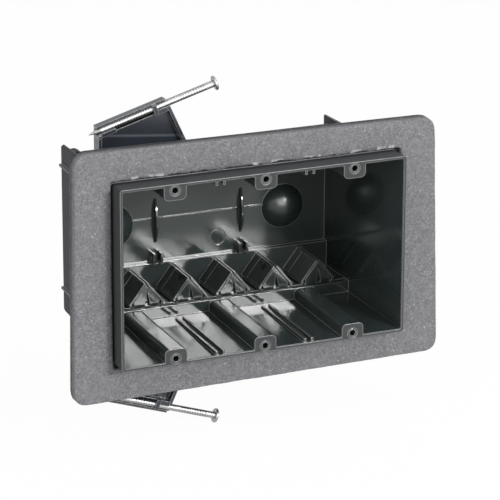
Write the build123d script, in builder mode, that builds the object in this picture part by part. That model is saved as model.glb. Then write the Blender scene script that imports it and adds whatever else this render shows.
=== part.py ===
from build123d import *
import os

os.makedirs("parts", exist_ok=True)

# Wall box for three devices, in millimetres.
# X runs to the right seen from the front, Y into the wall, Z up.
# The front rim lies on the plane Y = 0 and the origin is the centre of the device screws.

# Device screws
gang_pitch = 46.04
screw_height = 83.34
screw_hole_r = 1.5
screw_hole_depth = 24.0
screw_ring_inner_r = 2.2
screw_ring_outer_r = 2.7
screw_ring_depth = 0.3
gang_x = (-gang_pitch, 0.0, gang_pitch)

# Box
rim_width = 147.1
rim_height = 89.5
box_depth = 87.5
back_width = 142.4
back_height = 86.0
corner_r = 1.5
back_chamfer = 0.8
back_low_r = 4.5
cavity_width = 143.9
cavity_height = 86.3
cavity_back_width = 139.2
cavity_back_height = 83.1
cavity_corner_r = 0.8
lip_chamfer = 0.4

# Raised floor and ceiling at the back, where the cables come in
floor_wall = 2.4
step_y = 57.0
step_z = 36.1
step_edge_r = 0.6
back_y = 85.5
ledge_z = 22.7
ledge_y = 82.7
groove_y = 58.3
groove_width = 2.3
groove_depth = 1.5

# Flange and gasket
flange_corners = [(-92.4, 61.4), (92.6, 59.9), (96.3, -60.4), (-94.2, -62.5)]
flange_y = 13.0
flange_thick = 2.0
flange_corner_r = 7.0
flange_z = -0.7
gasket_thick = 4.3
gasket_edge_chamfer = 0.7
gasket_open_width = 148.8
gasket_open_height = 92.6
gasket_open_r = 1.5

# Screw bosses and the bars that run back from them
boss_width = 11.3
boss_inner_z = 36.8
boss_outer_z = 43.55
boss_corner_r = 2.4

# Guides for divider plates
guide_x = (-24.9, -21.1, 21.1, 24.9)
guide_width = 1.2
guide_height = 1.9
guide_start_y = 0.6
guide_end_y = 52.5

# Back wall details
fin_chord = 23.2
fin_proud = 3.75
fin_thick = 1.2
fin_z = -1.2
post_gap = 3.8
post_thick = 1.3
post_low_z = -23.0
post_high_z = -17.3
post_front_y = 80.9
dome_z = -1.9
dome_r = 13.8
dome_proud = 6.0
ridge_size = 0.5
ridge_half = 35.1
mark_at = (10.5, -14.0)
mark_r = 4.4
mark_ring = 0.5
mark_depth = 0.3

# Cable clamps: two roof flaps with a slot between them, and a gusset at the front
clamp_count = 6
clamp_pitch = gang_pitch / 2
clamp_shift = -2.9
clamp_y = 60.2
clamp_x = [clamp_shift + clamp_pitch * (i - 2.5) for i in range(clamp_count)]
flap_left = [(-0.4, 11.7), (-1.1, 11.7), (-9.2, 1.4), (-8.2, -1.2), (-6.9, -1.2), (-7.9, 1.5), (-0.4, 10.6)]
hinge_left = [(-1.0, 12.4), (-1.1, 11.2), (-8.7, 1.65), (-9.9, 1.4)]
gusset = [(0.0, 10.7), (6.9, 2.2), (6.2, -1.2), (-6.2, -1.2), (-6.9, 2.2)]
gusset_slot = [(0.4, 7.3), (1.9, -0.1), (-0.9, -0.1)]
gusset_y = 60.5
gusset_thick = 2.0
hinge_y = 76.0
hinge_width = 0.6
port_half_width = 5.2
port_start_y = 64.0
port_end_y = 80.0

# Ribs outside, seen from above as a strip that follows the draft, and lugs behind the flange
side_rib_z = (33.0, -30.2)
side_rib_plan = [(72.4, 14.0), (74.3, 14.0), (72.5, 86.5), (70.6, 86.5)]
side_rib_thick = 1.2
lug_x = -65.8
lug_z = 37.2
lug_r = 4.0
lug_y = 80.0
lug_length = 5.0

# Nails
nail_r = 1.65
nail_length = 66.0
nail_head_r = 3.55
nail_head_thick = 1.3
nail_head_chamfer = 0.3
nail_point = 6.0
nail_tip_r = 0.15
nail_clear = 0.01
head_at = Vector(-14.55, 26.5, 83.7)
nail_way = Vector(-62.75, 4.0, -20.0).normalized()
back_way = (Vector(0, 1, 0) - nail_way * nail_way.Y).normalized()
mid_plane = Plane.XY.offset(flange_z)

# Nail bracket: outlines and depths of its three plates
web_front = 2.3
web_thick = 1.7
web_outline = [(9.2, 42.2), (24.9, 77.4), (59.05, 66.9), (59.05, 42.2)]
end_plate_y = (26.9, 33.0)
end_plate_outline = [(-40.9, 77.6), (-39.1, 77.6), (-22.8, 42.2), (-24.6, 42.2)]
left_wall_y = (27.4, 33.9)
left_wall_thick = 1.7
left_wall_z = (42.2, 63.6)

# Blocks of the bracket beside the nail: start and end along it, front across it,
# low and high above its axis
nail_blocks = (
    (26.4, 61.9, -1.3, 1.5, 2.8),
    (53.2, 61.9, -2.6, -3.0, -0.9),
    (31.4, 33.4, -2.6, -3.0, 2.2),
    (26.4, 31.6, -2.5, -3.2, -0.8),
    (33.0, 53.6, -0.9, -3.1, -2.5),
)


def depth_plane(y):
    return Plane.XZ.offset(-y)


def flip(points, left_right, up_down):
    return [(x * left_right, z * up_down) for x, z in points]


def nail_plane(along):
    return Plane(origin=head_at + nail_way * along, x_dir=back_way, z_dir=nail_way)


def box_between(x0, x1, y0, y1, z0, z1, mode=Mode.ADD):
    with Locations(((x0 + x1) / 2, (y0 + y1) / 2, (z0 + z1) / 2)):
        Box(abs(x1 - x0), abs(y1 - y0), abs(z1 - z0), mode=mode)


def tapered_block(half_width, half_height, back_half_width, back_half_height, depth):
    # Seen from above it narrows from half_width, seen from the side from half_height.
    with BuildSketch(Plane.XY) as plan:
        Polygon(
            (-half_width, 0), (half_width, 0), (back_half_width, depth), (-back_half_width, depth),
            align=None,
        )
    extrude(plan.sketch, amount=half_height * 2, both=True)
    with BuildSketch(Plane.YZ) as side:
        Polygon(
            (0, -half_height), (depth, -back_half_height), (depth, back_half_height), (0, half_height),
            align=None,
        )
    extrude(side.sketch, amount=half_width * 2, both=True, mode=Mode.INTERSECT)


def along_nail(start, end, front, low, high):
    with BuildSketch(nail_plane(start)) as block:
        with Locations(((front + web_front + 0.4) / 2, -(low + high) / 2)):
            Rectangle(web_front + 0.4 - front, high - low)
    extrude(block.sketch, amount=end - start)


def flange_outline():
    with BuildSketch(depth_plane(0), mode=Mode.PRIVATE) as outline:
        Polygon(*flange_corners, align=None)
        fillet(outline.vertices(), radius=flange_corner_r)
    return outline.sketch


# Upper nail bracket; the lower one is its mirror image
web_level = Plane(
    origin=(head_at.X, head_at.Y + web_front, 0),
    x_dir=(nail_way.X, nail_way.Y, 0),
    z_dir=(nail_way.Y, -nail_way.X, 0),
)

with BuildPart() as bracket:
    with BuildSketch(web_level):
        Polygon(*flip(web_outline, 1, 1 if web_level.y_dir.Z > 0 else -1), align=None)
    extrude(amount=web_thick)
    with BuildSketch(depth_plane(end_plate_y[0])):
        Polygon(*end_plate_outline, align=None)
    extrude(amount=end_plate_y[0] - end_plate_y[1])
    box_between(
        -rim_width / 2, -rim_width / 2 + left_wall_thick,
        left_wall_y[0], left_wall_y[1],
        left_wall_z[0], left_wall_z[1],
    )
    for start, end, front, low, high in nail_blocks:
        along_nail(start, end, front, low, high)
    with BuildSketch(nail_plane(-2.0)):
        Circle(nail_r + nail_clear)
    extrude(amount=nail_length + 4.0, mode=Mode.SUBTRACT)

# Outer shape with draft
with BuildPart() as outer_form:
    tapered_block(rim_width / 2, rim_height / 2, back_width / 2, back_height / 2, box_depth)
    rim_corners = outer_form.edges().filter_by(lambda edge: edge.bounding_box().size.Y > box_depth - 1)
    fillet(rim_corners, radius=corner_r)
    chamfer(outer_form.faces().sort_by(Axis.Y)[-1].edges(), length=back_chamfer)
    low_centre = (box_depth - back_low_r, back_low_r - back_height / 2)
    with BuildSketch(Plane.YZ) as low_corner:
        with Locations(low_centre):
            Rectangle(back_low_r * 2, back_low_r * 2, align=(Align.MIN, Align.MAX))
            Circle(back_low_r, mode=Mode.SUBTRACT)
    extrude(low_corner.sketch, amount=rim_width, both=True, mode=Mode.SUBTRACT)

# Inside, with the floor and the ceiling raised at the back and a ledge before the back wall
with BuildPart() as cavity_form:
    tapered_block(
        cavity_width / 2, cavity_height / 2, cavity_back_width / 2, cavity_back_height / 2, back_y,
    )
    corners = cavity_form.edges().filter_by(lambda edge: edge.bounding_box().size.Y > back_y - 1)
    fillet(corners, radius=cavity_corner_r)
    for side in (-1, 1):
        box_between(-100, 100, step_y, 100, side * step_z, side * 50, mode=Mode.SUBTRACT)
        box_between(-100, 100, ledge_y, 100, side * ledge_z, side * 50, mode=Mode.SUBTRACT)
    step_edges = cavity_form.edges().filter_by(Axis.X).filter_by(
        lambda edge: abs(edge.center().Y - step_y) < 0.01 and abs(abs(edge.center().Z) - step_z) < 0.01
    )
    fillet(step_edges, radius=step_edge_r)

# Domes that stand proud of the back wall, cut flush with the outside
dome_centres = [(x, back_y - dome_proud + dome_r, dome_z) for x in (-gang_pitch, gang_pitch)]

with BuildPart() as dome_form:
    with Locations(*dome_centres):
        Sphere(dome_r)
    box_between(-100, 100, box_depth, box_depth + 50, -50, 50, mode=Mode.SUBTRACT)

with BuildPart() as box_body:
    add(outer_form.part)

    # Recesses outside, above and below the raised floor
    for side in (-1, 1):
        box_between(
            -cavity_back_width / 2, cavity_back_width / 2,
            step_y + floor_wall, box_depth + 1,
            side * (step_z + floor_wall), side * (rim_height / 2 + 1),
            mode=Mode.SUBTRACT,
        )
        box_between(
            -cavity_back_width / 2, cavity_back_width / 2,
            ledge_y + floor_wall, box_depth + 1,
            side * (ledge_z + floor_wall), side * (rim_height / 2 + 1),
            mode=Mode.SUBTRACT,
        )

    # Flange
    with BuildSketch(depth_plane(flange_y)):
        add(flange_outline())
    extrude(amount=-flange_thick)

    # Ribs along the sides, lugs and nail brackets
    for z in side_rib_z:
        with BuildSketch(Plane.XY.offset(z - side_rib_thick / 2)):
            Polygon(*side_rib_plan, align=None)
            Polygon(*flip(side_rib_plan, -1, 1), align=None)
        extrude(amount=side_rib_thick)
    with BuildSketch(depth_plane(lug_y)):
        with Locations((lug_x, lug_z), (lug_x, -lug_z)):
            Circle(lug_r)
    extrude(amount=-lug_length)
    add(bracket.part)
    add(mirror(bracket.part, about=mid_plane, mode=Mode.PRIVATE))

    # Inside
    add(cavity_form.part, mode=Mode.SUBTRACT)
    lip = box_body.faces().sort_by(Axis.Y)[0].inner_wires()[0].edges()
    chamfer(lip, length=lip_chamfer)

    # Domes, hollow behind
    add(dome_form.part)
    with Locations(*dome_centres):
        Sphere(dome_r - floor_wall, mode=Mode.SUBTRACT)

    # Screw bosses with the bars behind them
    for side in (-1, 1):
        with BuildSketch(depth_plane(0)) as boss:
            for x in gang_x:
                with Locations((x, side * (boss_inner_z + boss_outer_z) / 2)):
                    Rectangle(boss_width, boss_outer_z - boss_inner_z)
            inner = boss.vertices().filter_by(lambda v: abs(abs(v.Y) - boss_inner_z) < 0.01)
            fillet(inner, radius=boss_corner_r)
        extrude(amount=-(step_y + 0.5))

        # Divider guides
        for x in guide_x:
            box_between(
                x - guide_width / 2, x + guide_width / 2, guide_start_y, guide_end_y,
                side * (cavity_height / 2 - guide_height), side * (cavity_height / 2 + 0.3),
            )

        # Cable clamps
        seats = [(x, side * step_z) for x in clamp_x]
        with BuildSketch(depth_plane(port_start_y)):
            with Locations(*seats):
                Rectangle(port_half_width * 2, floor_wall * 3)
        extrude(amount=-(port_end_y - port_start_y), mode=Mode.SUBTRACT)
        with BuildSketch(depth_plane(groove_y)):
            with Locations((0, side * step_z)):
                Rectangle(cavity_back_width, groove_depth * 2)
        extrude(amount=-groove_width, mode=Mode.SUBTRACT)
        with BuildSketch(depth_plane(clamp_y)):
            with Locations(*seats):
                Polygon(*flip(flap_left, 1, -side), align=None)
                Polygon(*flip(flap_left, -1, -side), align=None)
        extrude(amount=-(ledge_y - clamp_y + 0.3))
        with BuildSketch(depth_plane(gusset_y)):
            with Locations(*seats):
                Polygon(*flip(gusset, 1, -side), align=None)
                Polygon(*flip(gusset_slot, 1, -side), align=None, mode=Mode.SUBTRACT)
        extrude(amount=-gusset_thick)
        with BuildSketch(depth_plane(hinge_y)):
            with Locations(*seats):
                Polygon(*flip(hinge_left, 1, -side), align=None)
                Polygon(*flip(hinge_left, -1, -side), align=None)
        extrude(amount=-hinge_width, mode=Mode.SUBTRACT)

    # Half-round fins, posts and the thin ridge on the back wall
    for x in (-gang_pitch / 2, gang_pitch / 2):
        with BuildSketch(Plane.YZ.offset(x - fin_thick / 2)):
            with BuildLine():
                ThreePointArc(
                    (back_y, fin_z - fin_chord / 2),
                    (back_y - fin_proud, fin_z),
                    (back_y, fin_z + fin_chord / 2),
                )
                Polyline(
                    (back_y, fin_z + fin_chord / 2),
                    (back_y + 0.5, fin_z + fin_chord / 2),
                    (back_y + 0.5, fin_z - fin_chord / 2),
                    (back_y, fin_z - fin_chord / 2),
                )
            make_face()
        extrude(amount=fin_thick)
        for shift in (-post_gap / 2, post_gap / 2):
            for side in (-1, 1):
                box_between(
                    x + shift - post_thick / 2, x + shift + post_thick / 2,
                    post_front_y, back_y + 0.3,
                    side * post_low_z, side * post_high_z,
                )
    box_between(
        -ridge_half, ridge_half, back_y - ridge_size, back_y + 0.2, -ridge_size / 2, ridge_size / 2,
    )
    with BuildSketch(depth_plane(back_y - 0.5)):
        with Locations(mark_at):
            Circle(mark_r)
            Circle(mark_r - mark_ring, mode=Mode.SUBTRACT)
    extrude(amount=-(mark_depth + 0.5), mode=Mode.SUBTRACT)

    # Screw holes, each in a shallow ring
    for z in (-screw_height / 2, screw_height / 2):
        with BuildSketch(depth_plane(0)):
            with Locations(*[(x, z) for x in gang_x]):
                Circle(screw_hole_r)
        extrude(amount=-screw_hole_depth, mode=Mode.SUBTRACT)
        with BuildSketch(depth_plane(0)):
            with Locations(*[(x, z) for x in gang_x]):
                Circle(screw_ring_outer_r)
                Circle(screw_ring_inner_r, mode=Mode.SUBTRACT)
        extrude(amount=-screw_ring_depth, mode=Mode.SUBTRACT)

with BuildPart() as flange_gasket:
    with BuildSketch(depth_plane(flange_y - gasket_thick)):
        add(flange_outline())
        RectangleRounded(gasket_open_width, gasket_open_height, gasket_open_r, mode=Mode.SUBTRACT)
    extrude(amount=-gasket_thick)
    chamfer(flange_gasket.faces().sort_by(Axis.Y)[0].edges(), length=gasket_edge_chamfer)

with BuildPart() as nail_upper:
    with BuildSketch(nail_plane(0)):
        Circle(nail_head_r)
    extrude(amount=nail_head_thick)
    chamfer(nail_upper.edges().filter_by(GeomType.CIRCLE), length=nail_head_chamfer)
    with BuildSketch(nail_plane(nail_head_thick / 2)):
        Circle(nail_r)
    extrude(amount=nail_length - nail_point - nail_head_thick / 2)
    with BuildSketch(nail_plane(nail_length - nail_point)):
        Circle(nail_r)
    with BuildSketch(nail_plane(nail_length)):
        Circle(nail_tip_r)
    loft()

with BuildPart() as nail_lower:
    add(mirror(nail_upper.part, about=mid_plane, mode=Mode.PRIVATE))

box_body.part.label = "box_body"
flange_gasket.part.label = "flange_gasket"
nail_upper.part.label = "nail_upper"
nail_lower.part.label = "nail_lower"
export_step(box_body.part, "parts/box_body.step")
export_step(flange_gasket.part, "parts/flange_gasket.step")
export_step(nail_upper.part, "parts/nail_upper.step")
export_step(nail_lower.part, "parts/nail_lower.step")
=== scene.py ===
from math import cos, radians, sin

import bpy
from mathutils import Matrix, Vector, noise


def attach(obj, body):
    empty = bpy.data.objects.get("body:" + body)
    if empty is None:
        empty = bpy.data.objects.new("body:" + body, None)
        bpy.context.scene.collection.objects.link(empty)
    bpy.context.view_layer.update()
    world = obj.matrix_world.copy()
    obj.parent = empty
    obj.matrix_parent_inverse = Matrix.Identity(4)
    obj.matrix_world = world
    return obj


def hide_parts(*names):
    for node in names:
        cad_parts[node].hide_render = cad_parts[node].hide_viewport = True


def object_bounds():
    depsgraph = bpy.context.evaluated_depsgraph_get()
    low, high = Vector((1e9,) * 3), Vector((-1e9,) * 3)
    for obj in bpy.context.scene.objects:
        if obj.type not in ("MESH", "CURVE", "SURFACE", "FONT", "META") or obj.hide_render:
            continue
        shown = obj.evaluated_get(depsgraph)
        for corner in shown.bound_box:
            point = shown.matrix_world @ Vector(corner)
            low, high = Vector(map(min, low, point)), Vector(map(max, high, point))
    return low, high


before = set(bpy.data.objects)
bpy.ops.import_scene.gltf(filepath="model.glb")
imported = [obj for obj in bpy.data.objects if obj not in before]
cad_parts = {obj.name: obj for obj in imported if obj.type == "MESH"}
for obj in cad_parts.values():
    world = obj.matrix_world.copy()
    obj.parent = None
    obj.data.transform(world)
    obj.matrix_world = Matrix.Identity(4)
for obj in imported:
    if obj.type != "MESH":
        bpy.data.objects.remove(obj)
cad_box = [list(corner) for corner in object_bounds()]
scene = bpy.context.scene
MM = 0.001

# Camera, fitted to the screw holes and the flange: angles in degrees, lengths in metres
CAMERA_AZIMUTH = -23.22
CAMERA_ELEVATION = 18.481
CAMERA_ROLL = 0.17
CAMERA_DISTANCE = 1.4113
CAMERA_TARGET = Vector((-0.008214, 0.0, 0.007684))
CAMERA_LENS = 214.95
CAMERA_SENSOR = 36.0
CAMERA_REACH = 20.0

# Lamps: place in metres, width, height and power in watts, all turned to one point
LAMP_TARGET = Vector((0.0, 0.03, 0.0))
LAMPS = (
    ("key", (0.65, -1.5, 0.6), 0.34, 0.13, 18.0),
    ("front", (0.11, -1.56, 0.44), 1.0, 1.0, 19.0),
    ("over_camera", (-0.7, -1.57, 0.8), 0.5, 0.5, 3.0),
    ("top", (0.35, -0.55, 1.5), 0.8, 0.8, 8.0),
    ("left", (-1.6, -0.5, 0.5), 0.8, 0.8, 8.0),
)
# This one shows in the gloss only, so that it doesn't lighten the colours
GLOSS_LAMP = "front"
ROOM_LIGHT = 0.4
BACKGROUND_WHITE = 1.0

# Floor: its size, and how much of what the camera sees of it is plain white
FLOOR_HALF = 3.0
FLOOR_GAP = 0.5 * MM
FLOOR_COLOUR = (0.9, 0.9, 0.9, 1.0)
FLOOR_ROUGHNESS = 0.9
FLOOR_PLAIN = 0.97

# The inside of the box: half width and half height at the front, and how they shrink with depth
INSIDE_HALF_WIDTH = 72.75 * MM
INSIDE_HALF_HEIGHT = 43.95 * MM
INSIDE_NARROWS = 0.0272
INSIDE_LOWERS = 0.0193
INSIDE_FROM_Y = 0.05 * MM
INSIDE_TO_Y = 86.5 * MM
# Depths at which the inside gets lower, and its half height from there
INSIDE_STEPS = ((58.2 * MM, 37.3 * MM), (83.9 * MM, 23.9 * MM))

# The floor and the ceiling of the box, and the smoother step behind them
BOX_FLOOR_Z = 38.0 * MM
BOX_FLOOR_TO_Y = 56.6 * MM
STEP_TO_Y = 57.3 * MM

# The nail brackets, above and below the body and behind the flange, with a painted highlight along a
# sloping crease line
BRACKET_FROM_Z = 46.5 * MM
BRACKET_FROM_Y = 16.0 * MM
CREASE_Z = 56.2 * MM
CREASE_SLOPE = 0.083
CREASE_HIGHLIGHT_WIDTHS = (0.2 * MM, 0.9 * MM)
CREASE_HIGHLIGHT_SHARE = 0.6

# The bars along the floor and the ceiling
BAR_PITCH = 46.04 * MM
BAR_HALF_WIDTH = 5.3 * MM
BAR_FROM_Z = 36.5 * MM

# The fins and posts on the back wall, which get no painted edge highlight
FIN_X = 23.02 * MM
FIN_HALF_WIDTH = 4.5 * MM
FIN_TO_Z = 22.0 * MM
FIN_FROM_Y = 66.0 * MM

# The domes on the back wall, which are hollow outside
DOME_CENTRES = ((-46.04 * MM, 93.3 * MM, -1.9 * MM), (46.04 * MM, 93.3 * MM, -1.9 * MM))
DOME_SKIN_R = 14.0 * MM
DOME_HOLLOW_R = 12.6 * MM

# Plastic: colours, each a pair that a cloudy noise mixes, or one
OUTER_COLOURS = ((0.02, 0.022, 0.0235, 1.0), (0.03, 0.032, 0.0335, 1.0))
# The inside colours, with a teal tint, are lighter than the outside ones: painted light standing in for
# the light the glossy inside reflects
INNER_LIGHTENED_COLOURS = ((0.024, 0.033, 0.031, 1.0), (0.033, 0.044, 0.042, 1.0))
BRACKET_COLOUR = (0.02, 0.025, 0.034, 1.0)
# Light line on the brackets: a painted highlight along a crease
CREASE_HIGHLIGHT_COLOUR = (0.14, 0.15, 0.17, 1.0)
# Lighter colour on the edges: a painted highlight
EDGE_HIGHLIGHT_COLOUR = (0.3, 0.305, 0.305, 1.0)

# Plastic: edges, found where the rounded normal leaves the flat one; their lighter colour is a painted
# highlight
EDGE_WIDTH = 0.8 * MM
EDGE_COSINES = (0.985, 0.9)
EDGE_HIGHLIGHT_SHARE = 0.75
EDGE_ROUND = 0.6 * MM

# Plastic: roughness outside, what full gloss takes off it, and the shares of that gloss
OUTER_ROUGHNESS = 0.84
GLOSS = 0.755
EDGE_GLOSS = 0.8
BRACKET_GLOSS = 0.82
SMEAR_MOST = 0.05
BAR_ROUGHER = 0.09
BOX_FLOOR_ROUGHER = 0.06
DOME_ROUGHER = 0.14
STEP_SMOOTHER = 0.035
PLASTIC_IOR = 1.56

# Plastic: noises, each its scale, detail and roughness, and bumps, each its strength and distance
CLOUD = (45.0, 3.0, 0.6)
SMEAR = (28.0, 4.0, 0.65)
WAVES = (32.0, 1.0, 0.5)
WAVES_BUMP = (0.15, 0.5 * MM)
GRAIN = (1300.0, 2.0, 0.5)
GRAIN_BUMP = (0.06, 0.1 * MM)

# Foam: noises and colours
SPECKLE = (1300.0, 2.0, 0.6)
SPECKLE_COLOURS = ((0.12, 0.121, 0.13, 1.0), (0.225, 0.225, 0.235, 1.0))
SPECKLE_BUMP = (0.35, 0.4 * MM)
BROAD = (90.0, 3.0, 0.6)
BROAD_COLOUR = (0.19, 0.187, 0.193, 1.0)
BROAD_BUMP = (0.3, 1.0 * MM)
MOTTLE = (620.0, 3.0, 0.7)
MOTTLE_COLOUR = (0.11, 0.112, 0.118, 1.0)
THREADS = (520.0, 3.0, 0.6)
THREAD_AREAS = (210.0, 2.0, 0.5)
THREAD_COLOUR = (0.33, 0.33, 0.34, 1.0)
FLECKS = (1100.0, 1.0, 0.5)
FLECK_COLOUR = (0.38, 0.38, 0.39, 1.0)
# Small dark spots: painted shade in the foam's pits
PITS_SCALE = 900.0
PIT_SHADE_COLOUR = (0.07, 0.07, 0.075, 1.0)
FOAM_ROUGHNESS = 0.85
FOAM_SPECULAR = 0.25

# Foam: torn shreds along the top of the opening, painted much lighter than the foam as a painted
# highlight
SHREDS = (150.0, 3.0, 0.7)
SHRED_HIGHLIGHT_COLOUR = (0.6, 0.6, 0.61, 1.0)
SHRED_FROM_Z = 45.2 * MM
SHRED_FADE_Z = (46.8 * MM, 48.4 * MM)
SHRED_HALF_WIDTH = 74.5 * MM

# Foam sheet, in millimetres: corners of its outline and of its opening, and its front
FOAM_CORNERS = [(-92.4, 61.4), (92.6, 59.9), (96.3, -60.4), (-94.2, -62.5)]
FOAM_OPENING = [(-74.4, 46.3), (74.4, 46.3), (74.4, -46.3), (-74.4, -46.3)]
FOAM_OUTER_R = 7.0
FOAM_INNER_R = 1.5
FOAM_FRONT_Y = 8.7
FOAM_TOP_Z = 46.0
FOAM_INSET = -0.03
FOAM_SIDE_POINTS = 150
FOAM_CORNER_POINTS = 10
# Share of the way from the outer edge to the opening, and depth behind the front
FOAM_PROFILE = [
    (0.0, 5.8), (0.0, 0.75), (0.004, 0.4), (0.012, 0.18), (0.03, 0.06), (0.08, 0.0), (0.16, 0.0),
    (0.3, 0.0), (0.45, 0.0), (0.6, 0.0), (0.75, 0.0), (0.88, 0.02), (0.95, 0.12), (0.98, 0.35),
    (1.0, 0.8), (1.0, 2.0), (1.0, 4.3), (0.003, 4.3),
]
# Waves of the sheet, each its size, height and seed, and how deep they reach
OUTER_EDGE_WAVES = ((16.0, 0.25, 3.1), (2.6, 0.12, 7.7))
OUTER_EDGE_DEPTH = 3.0
FRONT_WAVE = (11.0, 0.16, 9.4)
FRONT_TORN_WAVE = (2.4, 0.5, 2.2)
FRONT_LEAST = 0.1
FRONT_DEPTH = 4.0
# Torn edge of the opening: heights at the top and elsewhere, sizes and seeds, and its mean
TORN_AT_TOP = 0.75
TORN_ELSEWHERE = 0.25
TORN_WAVES = ((2.2, 1.3), (9.0, 5.9))
TORN_MEAN = 0.15

# Webs behind the slots of the clamp gussets, in millimetres: corners across and above the step
CLAMP_COUNT = 6
CLAMP_SHIFT = -2.9
CLAMP_PITCH = 23.02
CLAMP_WEB = [(0.4, 8.2), (2.6, -0.4), (-1.6, -0.4)]
CLAMP_WEB_Y = 62.3
CLAMP_WEB_THICK = 0.5
STEP_Z = 36.1

# Nails, in millimetres: the upper one's head, which way its shank runs, and the mirror's height
NAIL_HEAD = Vector((-14.55, 26.5, 83.7))
NAIL_WAY = Vector((-62.75, 4.0, -20.0)).normalized()
MIRROR_Z = -0.7

# Zinc: colours, and the stretches of the shank that have rings
ZINC_COLOURS = ((0.28, 0.28, 0.278, 1.0), (0.42, 0.42, 0.415, 1.0))
ZINC_ROUGHNESS = (0.34, 0.5)
ZINC_MOTTLE = (420.0, 3.0, 0.6)
ZINC_MOTTLE_BUMP = (0.15, 0.2 * MM)
# Dark lines in the rings' grooves: painted shade
RING_SHADE_COLOUR = (0.1, 0.1, 0.1, 1.0)
RING_PHASE = 4600.0
RING_BUMP = (0.12, 0.08 * MM)
RINGED = ((6.0 * MM, 19.0 * MM), (34.0 * MM, 53.0 * MM))


class Nodes:
    """Adds nodes to a material and joins them."""

    def __init__(self, name):
        self.material = bpy.data.materials.new(name)
        self.material.use_nodes = True
        self.tree = self.material.node_tree
        self.shader = self.tree.nodes["Principled BSDF"]
        self.output = self.tree.nodes["Material Output"]

    def add(self, kind, **values):
        node = self.tree.nodes.new(kind)
        for key, value in values.items():
            setattr(node, key, value)
        return node

    def join(self, source, target):
        self.tree.links.new(source, target)

    def fill(self, socket, value):
        if isinstance(value, bpy.types.NodeSocket):
            self.join(value, socket)
        else:
            socket.default_value = value

    def math(self, operation, a, b=0.0):
        node = self.add("ShaderNodeMath", operation=operation)
        self.fill(node.inputs[0], a)
        self.fill(node.inputs[1], b)
        return node.outputs[0]

    def above(self, value, limit):
        return self.math("GREATER_THAN", value, limit)

    def below(self, value, limit):
        return self.math("LESS_THAN", value, limit)

    def times(self, a, b):
        return self.math("MULTIPLY", a, b)

    def apart(self, a, b):
        return self.math("ABSOLUTE", self.math("SUBTRACT", a, b))

    def all_of(self, shares):
        share = shares[0]
        for other in shares[1:]:
            share = self.times(share, other)
        return share

    def place(self):
        return self.add("ShaderNodeTexCoord").outputs["Object"]

    def separate(self):
        node = self.add("ShaderNodeSeparateXYZ")
        self.join(self.place(), node.inputs[0])
        return node.outputs[0], node.outputs[1], node.outputs[2]

    def vector_math(self, operation, a, b):
        node = self.add("ShaderNodeVectorMath", operation=operation)
        self.fill(node.inputs[0], a)
        self.fill(node.inputs[1], b)
        return node

    def nearest(self, points):
        """Distance to the nearest of two points, in metres."""
        gaps = [self.vector_math("DISTANCE", self.place(), point).outputs["Value"] for point in points]
        return self.math("MINIMUM", *gaps)

    def along(self, start, way):
        """Distance from start along way, in metres."""
        shift = self.vector_math("SUBTRACT", self.place(), start).outputs[0]
        return self.vector_math("DOT_PRODUCT", shift, way).outputs["Value"]

    def noise(self, scale, detail, roughness):
        node = self.add("ShaderNodeTexNoise")
        node.inputs["Scale"].default_value = scale
        node.inputs["Detail"].default_value = detail
        node.inputs["Roughness"].default_value = roughness
        self.join(self.place(), node.inputs["Vector"])
        return node.outputs["Fac"]

    def cells(self, scale):
        node = self.add("ShaderNodeTexVoronoi")
        node.inputs["Scale"].default_value = scale
        self.join(self.place(), node.inputs["Vector"])
        return node.outputs["Distance"]

    def span(self, value, low, high, to_low, to_high):
        node = self.add("ShaderNodeMapRange")
        node.inputs["From Min"].default_value = low
        node.inputs["From Max"].default_value = high
        node.inputs["To Min"].default_value = to_low
        node.inputs["To Max"].default_value = to_high
        self.join(value, node.inputs["Value"])
        return node.outputs["Result"]

    def blend(self, share, a, b):
        node = self.add("ShaderNodeMix", data_type="RGBA")
        self.fill(node.inputs["Factor"], share)
        self.fill(node.inputs["A"], a)
        self.fill(node.inputs["B"], b)
        return node.outputs["Result"]

    def soft_edges(self, radius):
        node = self.add("ShaderNodeBevel", samples=6)
        node.inputs["Radius"].default_value = radius
        return node.outputs["Normal"]

    def edges(self, width):
        """1 at the edges of the mesh and 0 on its faces."""
        flat = self.add("ShaderNodeNewGeometry").outputs["Normal"]
        cosine = self.vector_math("DOT_PRODUCT", flat, self.soft_edges(width)).outputs["Value"]
        return self.span(cosine, *EDGE_COSINES, 0.0, 1.0)

    def bump(self, height, strength, distance, before=None):
        node = self.add("ShaderNodeBump")
        node.inputs["Strength"].default_value = strength
        node.inputs["Distance"].default_value = distance
        self.join(height, node.inputs["Height"])
        if before is not None:
            self.join(before, node.inputs["Normal"])
        return node.outputs["Normal"]


def inside_share(n, x, y, z, dome_gap):
    """1 on the inside of the box, with its draft, steps and domes, and 0 outside."""
    shares = [
        n.below(n.math("ADD", x, n.times(y, INSIDE_NARROWS)), INSIDE_HALF_WIDTH),
        n.below(n.math("ADD", z, n.times(y, INSIDE_LOWERS)), INSIDE_HALF_HEIGHT),
        n.above(y, INSIDE_FROM_Y),
        n.below(y, INSIDE_TO_Y),
        n.above(dome_gap, DOME_HOLLOW_R),
    ]
    for depth, height in INSIDE_STEPS:
        shares.append(n.math("MAXIMUM", n.below(y, depth), n.below(z, height)))
    return n.all_of(shares)


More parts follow.
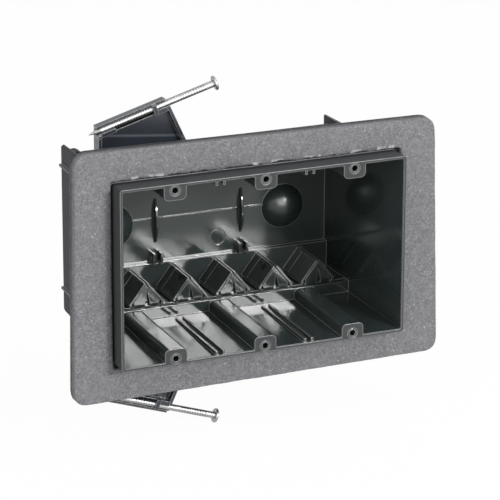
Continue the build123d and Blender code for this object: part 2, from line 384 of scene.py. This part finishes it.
def plastic_colour(n, x, z, inside, bracket, edges):
    cloud = n.noise(*CLOUD)
    outer = n.blend(bracket, n.blend(cloud, *OUTER_COLOURS), BRACKET_COLOUR)
    # A lighter sloping line on the brackets: a painted highlight along a crease
    tilted = n.math("SUBTRACT", z, n.times(x, CREASE_SLOPE))
    crease_highlight = n.span(n.apart(tilted, CREASE_Z), *CREASE_HIGHLIGHT_WIDTHS, CREASE_HIGHLIGHT_SHARE, 0.0)
    outer = n.blend(n.times(bracket, crease_highlight), outer, CREASE_HIGHLIGHT_COLOUR)
    # The inside gets its own lighter colours: painted light
    colour = n.blend(inside, outer, n.blend(cloud, *INNER_LIGHTENED_COLOURS))
    # Edges made lighter: a painted highlight
    return n.blend(n.times(edges, EDGE_HIGHLIGHT_SHARE), colour, EDGE_HIGHLIGHT_COLOUR)


def plastic_roughness(n, x, y, z, dome_gap, inside, bracket, edges):
    gloss = n.math("MAXIMUM", inside, n.times(edges, EDGE_GLOSS))
    gloss = n.math("MAXIMUM", gloss, n.times(bracket, BRACKET_GLOSS))
    smear = n.span(n.noise(*SMEAR), 0.35, 0.65, 0.0, SMEAR_MOST)
    rough = n.math("SUBTRACT", n.math("ADD", smear, OUTER_ROUGHNESS), n.times(gloss, GLOSS))
    beside_bar = n.apart(n.apart(x, BAR_PITCH / 2), BAR_PITCH / 2)
    places = (
        (n.times(n.below(beside_bar, BAR_HALF_WIDTH), n.above(z, BAR_FROM_Z)), BAR_ROUGHER),
        (n.times(n.above(z, BOX_FLOOR_Z), n.below(y, BOX_FLOOR_TO_Y)), BOX_FLOOR_ROUGHER),
        (n.times(n.above(y, BOX_FLOOR_TO_Y), n.below(y, STEP_TO_Y)), -STEP_SMOOTHER),
        (n.below(dome_gap, DOME_SKIN_R), DOME_ROUGHER),
    )
    for share, change in places:
        rough = n.math("ADD", rough, n.times(n.times(share, inside), change))
    return rough


def box_plastic():
    n = Nodes("black_plastic")
    x, y, z = n.separate()
    x = n.math("ABSOLUTE", x)
    z = n.math("ABSOLUTE", z)
    dome_gap = n.nearest(DOME_CENTRES)
    inside = inside_share(n, x, y, z, dome_gap)
    bracket = n.times(n.above(z, BRACKET_FROM_Z), n.above(y, BRACKET_FROM_Y))
    by_fin = n.all_of([
        n.below(n.apart(x, FIN_X), FIN_HALF_WIDTH), n.below(z, FIN_TO_Z), n.above(y, FIN_FROM_Y),
    ])
    # Edges for the painted highlight and the extra gloss, left off the fins and posts
    edges = n.times(n.edges(EDGE_WIDTH), n.math("SUBTRACT", 1.0, by_fin))
    n.join(plastic_colour(n, x, z, inside, bracket, edges), n.shader.inputs["Base Color"])
    rough = plastic_roughness(n, x, y, z, dome_gap, inside, bracket, edges)
    n.join(rough, n.shader.inputs["Roughness"])
    waves = n.bump(n.noise(*WAVES), *WAVES_BUMP, n.soft_edges(EDGE_ROUND))
    n.join(n.bump(n.noise(*GRAIN), *GRAIN_BUMP, waves), n.shader.inputs["Normal"])
    n.shader.inputs["IOR"].default_value = PLASTIC_IOR
    return n.material


def foam_colour(n, speckle, broad):
    base = n.blend(n.span(speckle, 0.36, 0.64, 0.0, 1.0), *SPECKLE_COLOURS)
    base = n.blend(n.span(broad, 0.35, 0.65, 0.0, 0.4), base, BROAD_COLOUR)
    base = n.blend(n.span(n.noise(*MOTTLE), 0.54, 0.4, 0.0, 0.4), base, MOTTLE_COLOUR)
    threads = n.span(n.apart(n.noise(*THREADS), 0.5), 0.0, 0.022, 0.6, 0.0)
    threads = n.times(threads, n.span(n.noise(*THREAD_AREAS), 0.45, 0.6, 0.0, 1.0))
    base = n.blend(threads, base, THREAD_COLOUR)
    base = n.blend(n.span(n.noise(*FLECKS), 0.68, 0.75, 0.0, 0.8), base, FLECK_COLOUR)
    x, _, z = n.separate()
    shred_highlight = n.all_of([
        n.span(z, *SHRED_FADE_Z, 1.0, 0.0),
        n.above(z, SHRED_FROM_Z),
        n.below(n.math("ABSOLUTE", x), SHRED_HALF_WIDTH),
        n.span(n.noise(*SHREDS), 0.53, 0.57, 0.0, 1.0),
    ])
    # Shreds painted much lighter than the foam: a painted highlight
    base = n.blend(shred_highlight, base, SHRED_HIGHLIGHT_COLOUR)
    # Dark spots: painted shade in the foam's pits
    return n.blend(n.span(n.cells(PITS_SCALE), 0.0, 0.14, 0.35, 0.0), base, PIT_SHADE_COLOUR)


def foam():
    n = Nodes("grey_foam")
    speckle = n.noise(*SPECKLE)
    broad = n.noise(*BROAD)
    n.join(foam_colour(n, speckle, broad), n.shader.inputs["Base Color"])
    n.shader.inputs["Roughness"].default_value = FOAM_ROUGHNESS
    n.shader.inputs["Specular IOR Level"].default_value = FOAM_SPECULAR
    coarse = n.bump(broad, *BROAD_BUMP)
    n.join(n.bump(speckle, *SPECKLE_BUMP, coarse), n.shader.inputs["Normal"])
    return n.material


def zinc(name, head, way):
    n = Nodes(name)
    n.shader.inputs["Metallic"].default_value = 1.0
    mottle = n.noise(*ZINC_MOTTLE)
    n.join(n.span(mottle, 0.3, 0.7, *ZINC_ROUGHNESS), n.shader.inputs["Roughness"])
    along = n.along(head * MM, way)
    near, far = [n.times(n.above(along, start), n.below(along, end)) for start, end in RINGED]
    rings = n.times(n.math("SINE", n.times(along, RING_PHASE)), n.math("ADD", near, far))
    # Grooves of the rings darkened: painted shade
    colour = n.blend(n.span(rings, -1.0, 0.0, 0.6, 0.0), n.blend(mottle, *ZINC_COLOURS), RING_SHADE_COLOUR)
    n.join(colour, n.shader.inputs["Base Color"])
    uneven = n.bump(mottle, *ZINC_MOTTLE_BUMP)
    n.join(n.bump(rings, *RING_BUMP, uneven), n.shader.inputs["Normal"])
    return n.material


def dress(node, material):
    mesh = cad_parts[node].data
    mesh.materials.clear()
    mesh.materials.append(material)


def rounded_outline(corners, radius):
    """Points around a four-sided outline, the same number for each side and corner."""
    points = []
    for i, corner in enumerate(corners):
        here = Vector(corner)
        before = (Vector(corners[i - 1]) - here).normalized()
        after = Vector(corners[(i + 1) % 4]) - here
        start = here + before * radius
        end = here + after.normalized() * radius
        for k in range(FOAM_CORNER_POINTS):
            t = k / FOAM_CORNER_POINTS
            points.append(start * (1 - t) ** 2 + here * 2 * t * (1 - t) + end * t ** 2)
        side_end = Vector(corners[(i + 1) % 4]) - after.normalized() * radius
        for k in range(FOAM_SIDE_POINTS):
            points.append(end.lerp(side_end, k / FOAM_SIDE_POINTS))
    return points


def ruffle(x, z, size, height, seed):
    return noise.noise(Vector((x / size, seed, z / size))) * height


def foam_point(outer, inner, share, depth, torn):
    """A point of the foam's skin, with soft waves and a torn edge around the opening."""
    x, z = outer.lerp(inner, share)
    way = (inner - outer).normalized()
    shift = FOAM_INSET * (1 - share)
    if depth < OUTER_EDGE_DEPTH:
        shift += (1 - share) * sum(abs(ruffle(x, z, *wave)) for wave in OUTER_EDGE_WAVES)
    shift += share ** 6 * (sum(ruffle(x, z, size, torn, seed) for size, seed in TORN_WAVES) - TORN_MEAN)
    y = FOAM_FRONT_Y + depth
    if depth < FRONT_DEPTH:
        y += FRONT_LEAST + ruffle(x, z, *FRONT_WAVE) + share ** 4 * ruffle(x, z, *FRONT_TORN_WAVE)
    x = min(max((x + way.x * shift) * MM, cad_box[0][0]), cad_box[1][0])
    return x, max(y, FOAM_FRONT_Y) * MM, (z + way.y * shift) * MM


def add_mesh(name, points, faces, material):
    mesh = bpy.data.meshes.new(name)
    mesh.from_pydata(points, [], faces)
    mesh.materials.append(material)
    thing = bpy.data.objects.new(name, mesh)
    scene.collection.objects.link(thing)
    return thing


def make_foam():
    outer = rounded_outline(FOAM_CORNERS, FOAM_OUTER_R)
    inner = rounded_outline(FOAM_OPENING, FOAM_INNER_R)
    points = []
    for share, depth in FOAM_PROFILE:
        for a, b in zip(outer, inner):
            torn = TORN_AT_TOP if b.y > FOAM_TOP_Z else TORN_ELSEWHERE
            points.append(foam_point(a, b, share, depth, torn))
    count = len(outer)
    rows = len(FOAM_PROFILE)
    faces = []
    for row in range(rows):
        start = row * count
        following = (row + 1) % rows * count
        for k in range(count):
            after = (k + 1) % count
            faces.append((start + k, start + after, following + after, following + k))
    sheet = add_mesh("foam_sheet", points, faces, foam())
    sheet.data.shade_smooth()
    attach(sheet, "root")
    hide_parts("flange_gasket")


def make_clamp_webs():
    """Thin webs close behind the slots of the clamp gussets."""
    points = []
    faces = []
    for side in (-1, 1):
        for i in range(CLAMP_COUNT):
            x = CLAMP_SHIFT + CLAMP_PITCH * (i - (CLAMP_COUNT - 1) / 2)
            k = len(points)
            for y in (CLAMP_WEB_Y, CLAMP_WEB_Y + CLAMP_WEB_THICK):
                for across, up in CLAMP_WEB:
                    points.append(((x + across) * MM, y * MM, side * (STEP_Z - up) * MM))
            faces += [(k, k + 1, k + 2), (k + 5, k + 4, k + 3)]
            faces += [(k + a, k + 3 + a, k + 3 + (a + 1) % 3, k + (a + 1) % 3) for a in range(3)]
    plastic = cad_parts["box_body"].data.materials[0]
    webs = add_mesh("clamp_webs", points, faces, plastic)
    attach(webs, "root")


def dress_nails():
    lower_head = Vector((NAIL_HEAD.x, NAIL_HEAD.y, 2 * MIRROR_Z - NAIL_HEAD.z))
    lower_way = Vector((NAIL_WAY.x, NAIL_WAY.y, -NAIL_WAY.z))
    dress("nail_upper", zinc("zinc_upper", NAIL_HEAD, NAIL_WAY))
    dress("nail_lower", zinc("zinc_lower", lower_head, lower_way))


def set_camera():
    azimuth = radians(CAMERA_AZIMUTH)
    elevation = radians(CAMERA_ELEVATION)
    roll = radians(CAMERA_ROLL)
    back = Vector((sin(azimuth) * cos(elevation), -cos(azimuth) * cos(elevation), sin(elevation)))
    level = Vector((0, 0, 1)).cross(back).normalized()
    upright = back.cross(level)
    right = level * cos(roll) + upright * sin(roll)
    up = upright * cos(roll) - level * sin(roll)
    data = bpy.data.cameras.new("camera")
    data.lens = CAMERA_LENS
    data.sensor_width = CAMERA_SENSOR
    data.clip_end = CAMERA_REACH
    camera = bpy.data.objects.new("camera", data)
    scene.collection.objects.link(camera)
    turn = Matrix((right, up, back)).transposed().to_4x4()
    camera.matrix_world = Matrix.Translation(CAMERA_TARGET + back * CAMERA_DISTANCE) @ turn
    scene.camera = camera


def add_lamps():
    for name, place, width, height, power in LAMPS:
        data = bpy.data.lights.new(name, "AREA")
        data.shape = "RECTANGLE"
        data.size = width
        data.size_y = height
        data.energy = power
        lamp = bpy.data.objects.new(name, data)
        scene.collection.objects.link(lamp)
        lamp.location = place
        lamp.rotation_euler = (LAMP_TARGET - Vector(place)).to_track_quat("-Z", "Y").to_euler()
        lamp.visible_diffuse = name != GLOSS_LAMP


def white_rays(tree):
    """1 for the rays that show the plain background: straight, reflected or through glass."""
    ray = tree.nodes.new("ShaderNodeLightPath")
    seen = ray.outputs["Is Camera Ray"]
    for name in ("Is Glossy Ray", "Is Transmission Ray"):
        both = tree.nodes.new("ShaderNodeMath")
        both.operation = "MAXIMUM"
        tree.links.new(seen, both.inputs[0])
        tree.links.new(ray.outputs[name], both.inputs[1])
        seen = both.outputs[0]
    return seen


def set_world():
    world = bpy.data.worlds.new("studio")
    scene.world = world
    world.use_nodes = True
    tree = world.node_tree
    tree.nodes.clear()
    pick = tree.nodes.new("ShaderNodeMixShader")
    out = tree.nodes.new("ShaderNodeOutputWorld")
    tree.links.new(white_rays(tree), pick.inputs["Fac"])
    for socket, strength in ((1, ROOM_LIGHT), (2, BACKGROUND_WHITE)):
        background = tree.nodes.new("ShaderNodeBackground")
        background.inputs["Color"].default_value = (1.0, 1.0, 1.0, 1.0)
        background.inputs["Strength"].default_value = strength
        tree.links.new(background.outputs[0], pick.inputs[socket])
    tree.links.new(pick.outputs[0], out.inputs["Surface"])


def floor_white():
    n = Nodes("floor_white")
    n.shader.inputs["Base Color"].default_value = FLOOR_COLOUR
    n.shader.inputs["Roughness"].default_value = FLOOR_ROUGHNESS
    n.shader.inputs["Specular IOR Level"].default_value = 0.0
    plain = n.add("ShaderNodeEmission")
    plain.inputs["Strength"].default_value = BACKGROUND_WHITE
    pick = n.add("ShaderNodeMixShader")
    n.join(n.times(white_rays(n.tree), FLOOR_PLAIN), pick.inputs["Fac"])
    n.join(n.shader.outputs[0], pick.inputs[1])
    n.join(plain.outputs[0], pick.inputs[2])
    n.join(pick.outputs[0], n.output.inputs["Surface"])
    return n.material


def add_floor():
    low = cad_box[0][2] - FLOOR_GAP
    corners = [(x * FLOOR_HALF, y * FLOOR_HALF, low) for x, y in ((-1, -1), (1, -1), (1, 1), (-1, 1))]
    add_mesh("floor", corners, [(0, 1, 2, 3)], floor_white())


scene.view_settings.view_transform = "Standard"
dress("box_body", box_plastic())
make_foam()
make_clamp_webs()
dress_nails()
set_camera()
set_world()
add_lamps()
add_floor()
